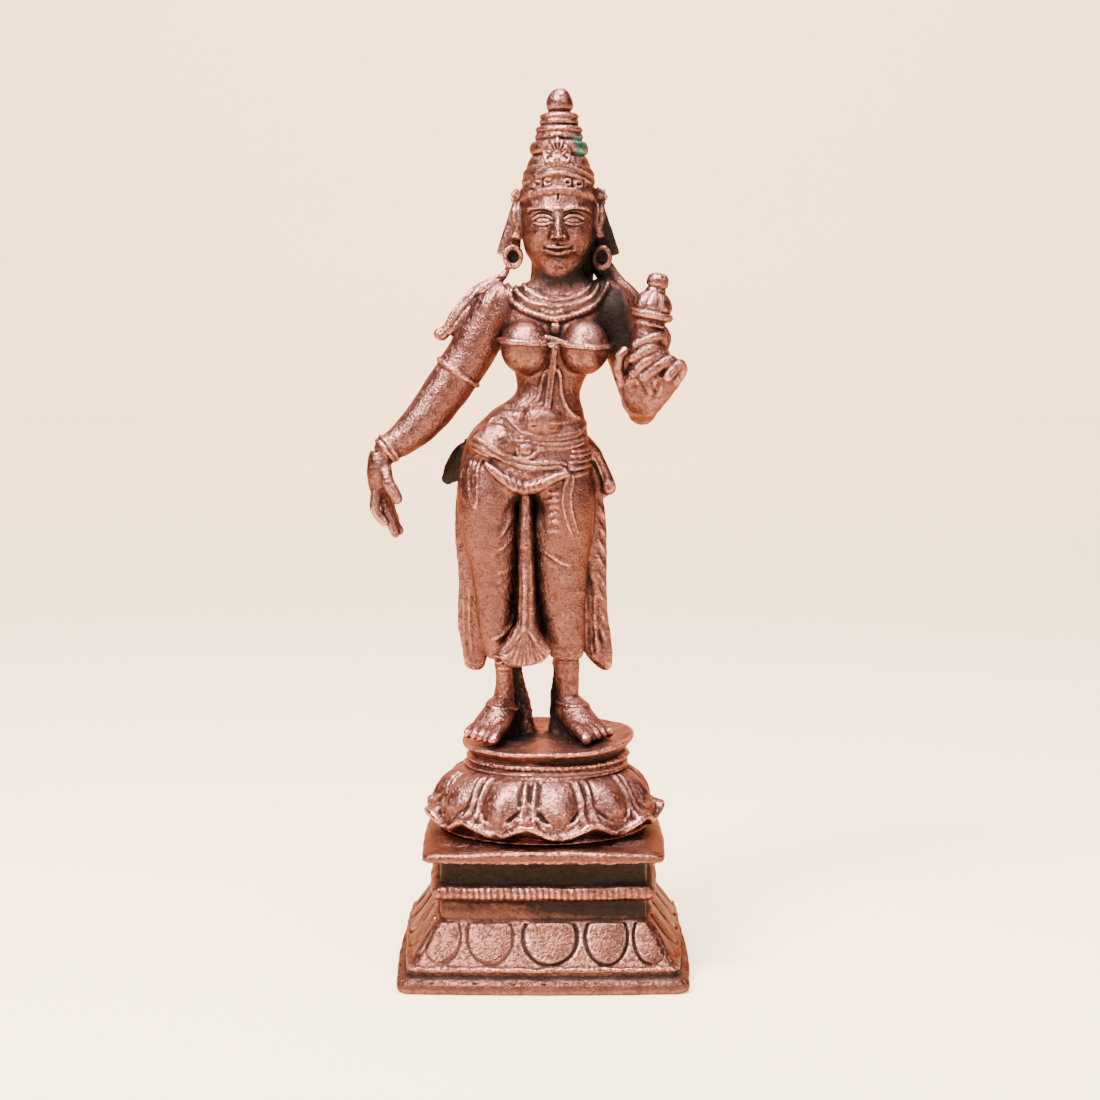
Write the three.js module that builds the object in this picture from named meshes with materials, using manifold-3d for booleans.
// A cast copper figure of the earth goddess, standing on a round lotus on a square stepped plinth.
// Units are millimetres. +Z is up, the figure faces -Y, and the origin is the middle of the plinth's underside.
// "Right" and "left" are the figure's own sides, so its right arm is on the -X side.
import * as THREE from 'three';
import { mergeVertices } from 'three/addons/utils/BufferGeometryUtils.js';
import Module from 'manifold-3d';

const wasm = await Module();
wasm.setup();

// Driving dimensions
const SLAB_TOP = 20;          // where the lotus stands on the plinth
const DISC_TOP = 33.1;        // where the feet stand on the lotus, at its middle
const PLATE_HALF = 20.45;     // half the plinth's widest side
const LOTUS_RIM = 17.1;       // radius at the petals' lower edge
const DISC_RADIUS = 12.6;     // radius of the disc under the feet
const DISC_X = 0.65;          // the disc is cast a little off the plinth's centre
const DISC_RISE_BACK = 0.05;  // the disc's slope up towards the back
const DISC_RISE_LEFT = 0.035; // and up towards the figure's left
const BOW = 0.8;              // how far the plinth's sides bow outwards at their middles
const HEAD_X = 2.1;           // the head stands over this X
const CROWN_LEAN = 0.015;     // radians by which the crown leans to the figure's left
const CROWN_SHIFT = -1.75;    // brings the leaning crown's foot back over the head
const PETALS = 11;            // petals round the lotus
const FIRST_PETAL = 8.3;     // degrees from straight ahead to the first petal's middle

const vec = (x, y, z) => new THREE.Vector3(x, y, z);
const radians = THREE.MathUtils.degToRad;

// A closed three.js geometry becomes a solid once its shared vertices are merged.
function solid(geometry) {
  const bare = geometry.clone();
  bare.deleteAttribute('normal');
  bare.deleteAttribute('uv');
  const merged = mergeVertices(bare, 1e-4);
  return new wasm.Manifold(new wasm.Mesh({
    numProp: 3,
    vertProperties: new Float32Array(merged.attributes.position.array),
    triVerts: new Uint32Array(merged.index.array),
  }));
}

function join(solids) {
  return solids.reduce((whole, next) => whole.add(next));
}

function deform(geometry, move) {
  const position = geometry.attributes.position;
  const point = vec(0, 0, 0);
  for (let i = 0; i < position.count; i++) {
    point.fromBufferAttribute(position, i);
    move(point);
    position.setXYZ(i, point.x, point.y, point.z);
  }
  return geometry;
}

// A smooth curve through rows of numbers, read at t from 0 to 1.
function rowsCurve(rows) {
  const spans = rows.length - 1;
  return (t) => {
    const place = Math.min(Math.max(t, 0), 1) * spans;
    const k = Math.min(Math.floor(place), spans - 1);
    const f = place - k;
    const [a, b, c, d] = [k - 1, k, k + 1, k + 2].map((i) => rows[Math.min(Math.max(i, 0), spans)]);
    return b.map((_, j) => b[j] + 0.5 * f * (c[j] - a[j]
      + f * (2 * a[j] - 5 * b[j] + 4 * c[j] - d[j] + f * (3 * (b[j] - c[j]) + d[j] - a[j]))));
  };
}

// A body of oval sections, each row being height, centre x, centre y, half width, half depth.
function loft(rows, around, steps) {
  const read = rowsCurve(rows);
  return deform(new THREE.CylinderGeometry(1, 1, 1, around, steps), (p) => {
    const [z, x, y, halfWidth, halfDepth] = read(p.y + 0.5);
    p.set(x + halfWidth * p.x, y - halfDepth * p.z, z);
  });
}

// A limb along a path, each row being x, y, z, half width, half thickness.
// side is the direction in which the half width is measured.
function limb(rows, around, steps, side = vec(1, 0, 0)) {
  const read = rowsCurve(rows);
  const small = 1e-3;
  return deform(new THREE.CylinderGeometry(1, 1, 1, around, steps), (p) => {
    const t = p.y + 0.5;
    const [x, y, z, halfWidth, halfThick] = read(t);
    const ahead = vec(...read(t + small).slice(0, 3));
    const along = ahead.sub(vec(...read(t - small).slice(0, 3))).normalize();
    const out = side.clone().addScaledVector(along, -side.dot(along)).normalize();
    const third = out.clone().cross(along);
    const [u, v] = [p.x, p.z];
    p.set(x, y, z).addScaledVector(out, halfWidth * u).addScaledVector(third, halfThick * v);
  });
}

// A ball stretched to three radii and placed.
function ball(x, y, z, rx, ry, rz, around = 8, rings = 5) {
  return deform(new THREE.SphereGeometry(1, around, rings), (p) => {
    p.set(x + rx * p.x, y - ry * p.z, z + rz * p.y);
  });
}

// A turned shape round an upright axis, its profile given as [radius, height] from the bottom to the top.
function turned(profile, x, around) {
  const points = profile.map(([radius, height]) => new THREE.Vector2(radius, height));
  return deform(new THREE.LatheGeometry(points, around), (p) => {
    p.set(x + p.x, -p.z, p.y);
  });
}

// A wire laid round a closed ring, with a round section.
function ring(radius, wire, around = 12, sides = 4) {
  return new THREE.TorusGeometry(radius, wire, sides, around);
}

// The square plinth is a turning whose round sections are pressed out square, with bowed sides.
// Its rows are half side and height from the bottom to the top.
// The sloping face is cast fuller behind, and the slab narrower.
function plinthBody() {
  const profile = [
    [0, 0], [20.2, 0], [PLATE_HALF, 0.5], [PLATE_HALF, 1.4], [19.4, 2.0], [19.2, 3.2], [18.6, 3.7],
    [17.0, 5.8], [15.6, 7.9], [14.6, 9.1], [14.5, 12.0], [15.7, 12.6], [15.75, 13.8], [14.5, 14.4],
    [14.5, 17.8], [17.0, 17.8], [17.05, 19.7], [16.7, SLAB_TOP], [0, SLAB_TOP],
  ];
  const squareOut = (radius, angle) => {
    const nearest = Math.round(angle / (Math.PI / 2)) * (Math.PI / 2);
    const off = angle - nearest;
    const bow = BOW * (radius / PLATE_HALF) * Math.cos(off * 2);
    return (radius + bow) / Math.cos(off);
  };
  return deform(new THREE.LatheGeometry(profile.map(([half, height]) => new THREE.Vector2(half, height)), 16),
    (p) => {
      const radius = Math.hypot(p.x, p.z);
      const angle = Math.atan2(p.x, p.z);
      const reach = radius > 1e-6 ? squareOut(radius, angle) : 0;
      const [x, y, z] = [reach * Math.sin(angle), -reach * Math.cos(angle), p.y];
      const behind = (y + 18) / 36;
      const fuller = z > 3.4 && z < 9.6 ? 0.07 * behind : 0;
      const narrower = z > 17.7 ? -0.035 * behind : 0;
      p.set(x * (1 + fuller + narrower), y, z);
    });
}

// The lotus is turned, and its radius swells over each petal and flicks out at the petal's tip.
function lotusPetals() {
  const profile = [
    [0, SLAB_TOP], [15.2, SLAB_TOP], [15.8, 21.0], [LOTUS_RIM, 22.1], [15.9, 24.0], [14.4, 26.4],
    [12.2, 28.6], [11.0, 29.3], [0, 29.6],
  ];
  const rimHeight = 22.1;
  return deform(turned(profile, 0, PETALS * 4), (p) => {
    const radius = Math.hypot(p.x, p.y);
    const onPetals = p.z > 20.5 && p.z < 28.5 && radius > 10;
    const turn = Math.atan2(p.x, -p.y) - radians(FIRST_PETAL);
    const wave = Math.cos(turn * PETALS);
    const flick = Math.exp(-(((p.z - rimHeight) / 1.3) ** 2));
    const swell = onPetals ? (0.25 + 0.55 * flick) * wave : 0;
    const scale = radius > 0 ? (radius + swell) / radius : 1;
    p.set(p.x * scale, p.y * scale, p.z + (onPetals ? 0.5 * flick * wave : 0));
  });
}

// The neck and the disc above the petals, the disc's top sloping a little.
function lotusDisc() {
  const profile = [
    [0, 28.4], [11.0, 28.4], [11.3, 29.4], [11.9, 30.5], [11.2, 31.2], [DISC_RADIUS, 32.6],
    [12.4, DISC_TOP], [0, DISC_TOP],
  ];
  return deform(turned(profile, DISC_X, 27), (p) => {
    const share = Math.max(0, (p.z - 29.4) / (DISC_TOP - 29.4));
    p.z += share * (DISC_RISE_BACK * p.y + DISC_RISE_LEFT * p.x);
  });
}

// Hips, waist, chest and neck in one loft, thrown over to the right hip.
function torso() {
  return loft([
    [68.2, -2.75, 0.8, 9.35, 5.55], [71.0, -2.75, 0.8, 9.7, 6.3],
    [75.0, -2.5, 0.6, 9.1, 5.6], [78.0, -2.0, 0.4, 8.2, 4.9], [80.8, -0.9, 0.2, 6.6, 4.2],
    [83.4, 0.6, 0.1, 4.7, 3.7], [86.0, 1.1, 0.2, 5.2, 3.8], [90.0, 1.6, 0.4, 6.8, 4.3],
    [94.0, 1.9, 0.6, 8.0, 4.2], [96.6, 2.1, 0.9, 8.6, 3.7], [98.4, 2.3, 1.1, 6.8, 3.3],
    [99.8, 2.4, 0.9, 4.3, 3.2], [103.0, HEAD_X, 0.4, 3.8, 3.4],
  ], 14, 16);
}

function breasts() {
  return [-2.6, 6.0].map((x) => ball(x, -3.6, 90.2, 3.65, 3.8, 4.0, 9, 6));
}

// Each leg is wrapped to below the knee, and the hem stands a little off the shin.
function skirtedLeg(rows) {
  return loft(rows, 11, 9);
}

const RIGHT_LEG = [
  [44.9, -6.2, 0.9, 2.0, 2.5], [46.6, -6.6, 0.7, 2.5, 3.0], [50.0, -6.9, 0.4, 2.8, 3.3],
  [54.7, -7.1, 0.2, 3.0, 3.6], [59.1, -7.3, 0.1, 3.5, 4.1], [63.5, -7.85, 0.2, 4.25, 4.9],
  [68.0, -7.9, 0.5, 4.7, 5.6], [72.5, -6.0, 0.6, 5.6, 5.4],
];
const LEFT_LEG = [
  [44.6, 3.3, 0.9, 2.4, 2.6], [46.2, 3.3, 0.7, 2.8, 3.0], [50.0, 3.0, 0.4, 3.1, 3.4],
  [54.7, 2.9, 0.2, 3.3, 3.7], [59.1, 2.9, 0.1, 3.6, 4.1], [63.5, 3.0, 0.25, 4.2, 4.85],
  [68.0, 2.9, 0.5, 4.5, 5.4], [72.5, 1.6, 0.6, 5.0, 5.4],
];

// The foot is one form from the shin to the ball of the foot, with five toes.
// turnOut is the angle from straight ahead, towards +X.
function foot(ankleX, shinTopX, shinHalf, turnOut) {
  const ankleY = 2.2;
  const heading = vec(Math.sin(turnOut), -Math.cos(turnOut), 0);
  const across = vec(-heading.y, heading.x, 0);
  const start = vec(ankleX, ankleY, 0);
  const at = (forward, aside, z) => start.clone().addScaledVector(heading, forward)
    .addScaledVector(across, aside).setZ(z);
  const inward = turnOut < 0 ? 1 : -1;
  const parts = [
    loft([
      [DISC_TOP - 0.3, ankleX, ankleY + 0.3, 1.7, 2.7], [35.0, ankleX, ankleY + 0.2, 1.7, 2.4],
      [38.0, ankleX, ankleY, 1.65, 1.8], [41.4, ankleX, 1.5, shinHalf, 1.6],
      [46.5, shinTopX, 0.9, shinHalf + 0.3, 1.9],
    ], 8, 5),
    limb([
      [...at(-1.5, 0, 35.4).toArray(), 1.8, 2.2], [...at(1.0, 0, 36.4).toArray(), 2.4, 2.4],
      [...at(4.2, 0, 34.9).toArray(), 3.0, 2.1], [...at(7.0, 0, 33.7).toArray(), 3.2, 1.3],
      [...at(8.4, 0, 33.2).toArray(), 2.6, 0.8],
    ], 8, 5, across),
  ];
  for (let k = 0; k < 5; k++) {
    const aside = inward * (2.35 - k * 1.18);
    const reach = 9.6 - k * 0.42;
    const thick = k === 0 ? 0.78 : 0.58;
    const toe = [[6.6, 33.7, 1], [8.2, 33.7, 1], [reach, 33.4, 0.95], [reach + 0.35, 33.3, 0.5]];
    parts.push(limb(toe.map(([forward, z, share]) => [
      ...at(forward, aside, z).toArray(), thick * share, thick * share]), 5, 2, across));
  }
  return parts;
}

function feet() {
  return [...foot(-5.9, -6.0, 1.25, radians(-30)), ...foot(3.5, 3.2, 1.7, radians(30))];
}

// Casting struts run from the back of the hem down to the disc.
function struts() {
  return [
    limb([[-5.2, 2.8, 46.0, 1.5, 0.8], [-4.6, 3.4, 42.0, 1.6, 1.0], [-3.8, 4.0, 36.5, 1.9, 1.2],
      [-3.4, 4.4, 32.6, 2.3, 1.4]], 6, 3),
    limb([[2.6, 2.6, 46.0, 1.3, 0.8], [2.3, 3.2, 41.0, 1.3, 1.0], [1.9, 3.8, 36.0, 1.5, 1.2],
      [1.8, 4.2, 32.6, 1.8, 1.4]], 6, 3),
  ];
}

// The pleated end of the skirt hangs between the legs and fans out at its foot.
function centrePleat() {
  return limb([
    [-2.3, -2.6, 69.0, 0.5, 0.7], [-2.3, -2.9, 62.0, 0.6, 0.8], [-2.3, -3.0, 54.7, 0.8, 0.8],
    [-2.3, -3.3, 50.5, 1.2, 1.3], [-2.5, -3.2, 47.8, 2.8, 1.5], [-2.6, -3.4, 45.9, 3.8, 1.2],
    [-2.5, -3.6, 44.0, 2.4, 0.8],
  ], 8, 8);
}

// Long cloth ends hang behind both legs.
function backDrapes() {
  return [
    limb([[-9.8, 2.6, 73.0, 2.6, 1.8], [-10.2, 2.8, 64.0, 2.9, 1.6], [-9.8, 3.0, 56.0, 2.8, 1.3],
      [-9.7, 3.4, 50.0, 2.9, 0.9], [-10.0, 3.6, 46.5, 2.3, 0.8], [-10.3, 3.7, 42.3, 1.3, 0.7]], 6, 6),
    limb([[5.4, 2.6, 73.0, 2.6, 1.8], [6.4, 2.8, 64.0, 2.9, 1.6], [7.0, 3.0, 56.0, 2.6, 1.3],
      [7.2, 3.4, 50.0, 2.7, 0.9], [8.0, 3.6, 46.5, 2.6, 0.8], [9.3, 3.7, 42.4, 1.3, 0.7]], 6, 6),
    limb([[-2.3, 1.4, 69.0, 5.5, 1.8], [-2.2, 1.6, 56.0, 5.5, 1.4], [-2.2, 1.6, 46.6, 5.2, 1.0]], 6, 2),
  ];
}

// Sashes lie round the hips, at the given rise over the torso's own surface.
function sash(points, width, thick, steps) {
  return limb(points.map(([x, y, z]) => [x, y, z, width, thick]), 5, steps, vec(0, 0, 1));
}

function sashes() {
  return [
    sash([[-11.0, -1.2, 76.4], [-8.2, -4.6, 74.9], [-4.4, -5.7, 73.0], [-0.4, -5.7, 72.2],
      [3.2, -4.9, 73.0], [6.2, -1.6, 75.0]], 0.75, 0.7, 8),
    sash([[-9.6, -3.2, 73.8], [-6.6, -5.2, 71.2], [-4.4, -5.9, 69.4], [-2.3, -6.1, 68.8],
      [0.2, -5.9, 69.6], [3.2, -4.8, 71.0]], 0.8, 0.75, 8),
    limb([[-10.6, -2.4, 74.6, 0.8, 0.6], [-9.6, -4.0, 71.5, 0.8, 0.6], [-9.5, -3.9, 68.5, 0.7, 0.5],
      [-9.9, -3.2, 65.5, 0.5, 0.4]], 5, 3),
    limb([[3.6, -4.7, 71.4, 0.5, 0.6], [2.9, -4.8, 68.5, 0.5, 0.5], [3.0, -4.6, 65.5, 0.6, 0.5],
      [4.2, -4.2, 62.6, 0.6, 0.4]], 5, 3),
    limb([[-9.6, 2.2, 75.4, 1.2, 1.0], [-12.2, 3.2, 74.0, 1.4, 1.0], [-13.6, 3.6, 71.2, 1.2, 0.8],
      [-14.0, 3.8, 70.3, 0.6, 0.5]], 6, 3),
    limb([[5.4, 2.0, 75.4, 1.2, 1.1], [6.6, 2.6, 73.6, 1.3, 1.2], [8.2, 2.8, 71.0, 1.5, 1.2],
      [9.5, 2.8, 68.8, 1.3, 0.9]], 6, 3),
  ];
}

// Girdle bands lie on the belly above the sashes.
function girdle() {
  return [
    loft([[74.4, -2.5, 0.6, 9.1, 5.9], [75.5, -2.4, 0.6, 9.4, 6.2], [76.6, -2.3, 0.5, 8.7, 5.6]], 14, 2),
  ];
}

const RIGHT_ARM = [
  [-4.6, 0.8, 98.0, 2.6, 2.2], [-6.6, 0.7, 96.2, 3.4, 3.3], [-8.8, 0.6, 92.2, 3.5, 3.5],
  [-11.4, 0.5, 87.8, 3.4, 3.4], [-14.0, 0.2, 83.9, 3.35, 3.3], [-17.0, -0.3, 79.9, 3.1, 3.0],
  [-19.9, -0.9, 77.0, 2.6, 2.5], [-22.4, -1.5, 75.5, 2.0, 2.0], [-23.5, -1.7, 73.8, 1.7, 1.6],
];
const LEFT_UPPER_ARM = [
  [8.6, 0.9, 97.8, 2.4, 2.4], [10.4, 1.0, 95.6, 3.3, 3.2], [11.6, 1.4, 91.5, 3.2, 3.2],
  [13.0, 1.8, 87.0, 3.1, 3.1], [14.2, 1.7, 83.2, 3.2, 3.0], [14.3, 1.0, 80.4, 2.0, 2.2],
];
const LEFT_FOREARM = [
  [14.3, 2.6, 82.8, 2.3, 2.3], [14.3, 0.2, 82.6, 3.1, 3.0], [14.5, -3.0, 83.2, 2.8, 2.8],
  [14.8, -5.6, 84.2, 2.5, 2.3],
];

function arms() {
  const facing = vec(0, -1, 0);
  return [
    limb(RIGHT_ARM, 9, 10, facing),
    limb(LEFT_UPPER_ARM, 8, 6, facing),
    limb(LEFT_FOREARM, 8, 4),
  ];
}

// A finger runs through its joints and narrows to its tip.
function finger(joints, thick) {
  const last = joints.length - 1;
  const rows = joints.map((joint, k) => [...joint, thick * (1 - 0.12 * k), thick * (1 - 0.12 * k)]);
  const tip = joints[last].map((v, j) => v + 0.25 * (v - joints[last - 1][j]));
  return limb([...rows, [...tip, thick * 0.4, thick * 0.4]], 5, 3, vec(0.3, -1, 0.2));
}

// The right hand hangs from the wrist with its fingers loosely bent.
function rightHand() {
  return [
    limb([[-22.9, -1.6, 75.0, 1.6, 1.5], [-23.5, -1.6, 73.4, 1.9, 1.5], [-23.7, -1.4, 71.4, 2.1, 1.4],
      [-23.6, -1.2, 69.4, 2.0, 1.2], [-23.4, -1.1, 68.6, 1.5, 0.8]], 8, 4, vec(0, -1, 0)),
    finger([[-22.6, -2.9, 73.2], [-21.6, -3.5, 70.8], [-20.7, -3.5, 68.4]], 0.85),
    finger([[-24.2, -2.6, 69.6], [-24.3, -2.9, 67.2], [-23.0, -3.2, 65.0]], 0.85),
    finger([[-23.7, -1.6, 69.2], [-22.7, -1.9, 66.2], [-21.2, -2.4, 63.2]], 0.8),
    finger([[-23.4, -0.5, 69.2], [-22.3, -0.7, 66.6], [-20.9, -1.2, 63.9]], 0.75),
    finger([[-23.2, 0.5, 69.6], [-22.2, 0.4, 67.4], [-21.1, 0.0, 65.4]], 0.6),
  ];
}

// The left hand stands up from the wrist with its palm forward and its fingers round the stem.
function leftHand() {
  return [
    limb([[14.7, -5.0, 82.9, 2.5, 2.3], [14.9, -6.4, 84.6, 3.2, 2.0], [15.4, -6.9, 86.6, 3.9, 1.8],
      [15.9, -7.0, 88.2, 3.6, 1.6], [16.2, -7.0, 89.0, 2.4, 1.2]], 8, 4),
    finger([[12.3, -7.4, 86.4], [11.6, -8.2, 87.8], [12.0, -8.9, 89.2]], 0.95),
    finger([[18.9, -7.0, 87.0], [19.0, -8.4, 88.1], [18.0, -9.1, 87.2]], 0.9),
    finger([[17.9, -7.0, 88.2], [17.4, -8.9, 88.7], [15.6, -9.4, 87.0]], 0.95),
    finger([[17.0, -7.0, 89.4], [16.0, -9.2, 89.4], [13.9, -9.5, 87.4]], 0.95),
    finger([[17.4, -7.4, 91.4], [16.0, -9.3, 90.9], [13.6, -9.3, 89.4]], 0.9),
  ];
}

// The flower bud is turned, with a flange, a swollen body and a knob, and leans a little outwards.
function bud() {
  const profile = [
    [0, -5.6], [1.9, -5.6], [2.1, -0.4], [2.8, 0.7], [2.8, 2.0], [2.1, 3.4], [1.3, 4.2], [1.6, 4.9],
    [1.2, 5.7], [0, 6.2],
  ];
  const shape = turned(profile, 0, 10);
  shape.rotateY(radians(10));
  shape.translate(15.2, -7.6, 94.6);
  return shape;
}

// The head narrows to the chin, and its centre moves forward there.
function head() {
  return [
    loft([
      [101.0, HEAD_X, -3.9, 1.0, 1.1], [101.6, HEAD_X, -2.8, 2.6, 2.7], [103.2, HEAD_X, -1.1, 4.2, 4.6],
      [105.5, HEAD_X, -0.3, 5.1, 5.6], [108.5, HEAD_X, 0, 5.4, 5.8], [111.5, HEAD_X, 0.1, 5.2, 5.5],
      [113.2, HEAD_X, 0.2, 4.4, 4.8],
    ], 12, 9),
    limb([[HEAD_X, -5.5, 108.7, 0.5, 0.4], [HEAD_X, -6.0, 107.2, 0.55, 0.6],
      [HEAD_X, -6.4, 105.9, 0.85, 0.7], [HEAD_X, -5.7, 105.2, 0.7, 0.4]], 5, 3),
  ];
}

// The tall crown is turned in rings that narrow to a bud.
function crown() {
  return [
    turned([
      [0, 110.3], [5.6, 110.5], [5.0, 114.3], [4.6, 116.0], [3.8, 117.7], [4.05, 118.7], [3.3, 119.9],
      [3.45, 120.8], [2.7, 121.9], [2.85, 122.7], [1.7, 123.7], [1.95, 124.8], [1.1, 126.5], [0, 127.0],
    ], 0, 12).rotateY(CROWN_LEAN).translate(HEAD_X + CROWN_SHIFT, 0, 0),
    ball(HEAD_X + 0.2, -4.0, 117.0, 1.7, 0.9, 2.2, 6, 4),
    ball(-3.6, 0.4, 111.6, 1.0, 0.9, 1.5, 6, 4),
    ball(8.1, 0.4, 111.7, 1.2, 0.9, 1.5, 6, 4),
  ];
}

// Long ears carry ring earrings, with cloth ends standing out behind them.
function ears() {
  const parts = [];
  for (const [side, middle] of [[-1, HEAD_X], [1, HEAD_X]]) {
    const x = (offset) => middle + side * offset;
    parts.push(limb([[x(5.6), 0.6, 110.6, 0.5, 0.9], [x(5.9), 0.3, 107.5, 0.6, 0.9],
      [x(6.0), 0.1, 105.0, 0.5, 0.6]], 5, 2));
    const earring = ring(1.15, 0.5, 9, 4);
    earring.scale(0.9, 1.3, 1);
    earring.rotateX(Math.PI / 2);
    earring.translate(x(6.3), -0.2, 103.4);
    parts.push(earring);
    parts.push(limb([[x(5.6), 2.6, 111.4, 0.9, 1.0], [x(6.6), 2.9, 107.5, 1.3, 0.8],
      [x(7.0), 3.1, 104.4, 1.8, 0.7], [x(7.3), 3.2, 103.0, 1.6, 0.5]], 6, 3));
  }
  return parts;
}

// Locks of hair run from behind the ears down over each shoulder and fill the back of the neck.
function locks() {
  return [
    limb([[2.1, 3.0, 110.5, 4.6, 2.4], [2.7, 3.3, 104.5, 5.2, 2.0], [2.8, 3.6, 100.0, 6.2, 1.6],
      [2.1, 4.2, 94.5, 4.6, 1.2], [1.7, 4.4, 90.0, 2.4, 0.8]], 8, 5),
    limb([[-3.9, 2.6, 104.2, 0.9, 0.9], [-5.3, 2.8, 101.4, 0.7, 0.7], [-6.6, 2.6, 99.2, 1.0, 0.9],
      [-9.4, 2.2, 97.4, 1.5, 1.1], [-12.0, 1.55, 94.95, 1.75, 1.2], [-13.9, 1.2, 92.5, 1.4, 1.1],
      [-15.2, 1.0, 91.7, 0.7, 0.7]], 6, 8, vec(0, 0, 1)),
    limb([[7.8, 2.6, 104.2, 0.9, 0.9], [9.0, 2.8, 100.8, 1.2, 0.8], [11.0, 2.6, 98.7, 1.3, 0.9],
      [13.4, 2.2, 96.9, 1.2, 1.0], [14.8, 1.8, 94.6, 1.1, 1.0], [15.4, 1.6, 92.4, 0.7, 0.7]], 6, 6,
      vec(0, 0, 1)),
  ];
}

// The bangle and the collar are wires laid round the wrist and the neck.
function wireRound(x, y, z, along, halfWidth, halfDepth, wire, around = 10) {
  const band = ring(1, wire / halfWidth, around, 4);
  band.scale(halfWidth, halfDepth, halfWidth);
  const turn = new THREE.Quaternion().setFromUnitVectors(vec(0, 0, 1), along.clone().normalize());
  band.applyQuaternion(turn);
  band.translate(x, y, z);
  return band;
}

function jewellery() {
  return [
    wireRound(-22.5, -1.5, 75.8, vec(-0.72, -0.2, -0.66), 1.9, 1.9, 0.35),
    wireRound(2.1, -0.5, 97.4, vec(0, -0.5, 1), 5.0, 4.3, 0.5, 14),
  ];
}

function figure() {
  const geometries = [
    lotusPetals(), lotusDisc(), torso(), ...breasts(), skirtedLeg(RIGHT_LEG), skirtedLeg(LEFT_LEG),
    ...feet(), ...struts(), centrePleat(), ...backDrapes(), ...girdle(), ...sashes(), ...arms(), ...rightHand(), ...leftHand(),
    bud(), ...head(), ...crown(), ...ears(), ...locks(), ...jewellery(),
  ];
  return join(geometries.map(solid));
}

// A joined solid becomes a named mesh in its own colour.
function namedMesh(name, whole, colour) {
  const { vertProperties, triVerts } = whole.getMesh();
  const geometry = new THREE.BufferGeometry();
  geometry.setAttribute('position', new THREE.BufferAttribute(new Float32Array(vertProperties), 3));
  geometry.setIndex(new THREE.BufferAttribute(new Uint32Array(triVerts), 1));
  geometry.computeVertexNormals();
  const material = new THREE.MeshStandardMaterial({ color: colour, roughness: 0.38, metalness: 0.9 });
  const mesh = new THREE.Mesh(geometry, material);
  mesh.name = name;
  return mesh;
}

const statue = new THREE.Group();
statue.add(namedMesh('square_plinth', solid(plinthBody()), 0x9a5442));
statue.add(namedMesh('figure_on_lotus', figure(), 0xb06a58));

export default statue;
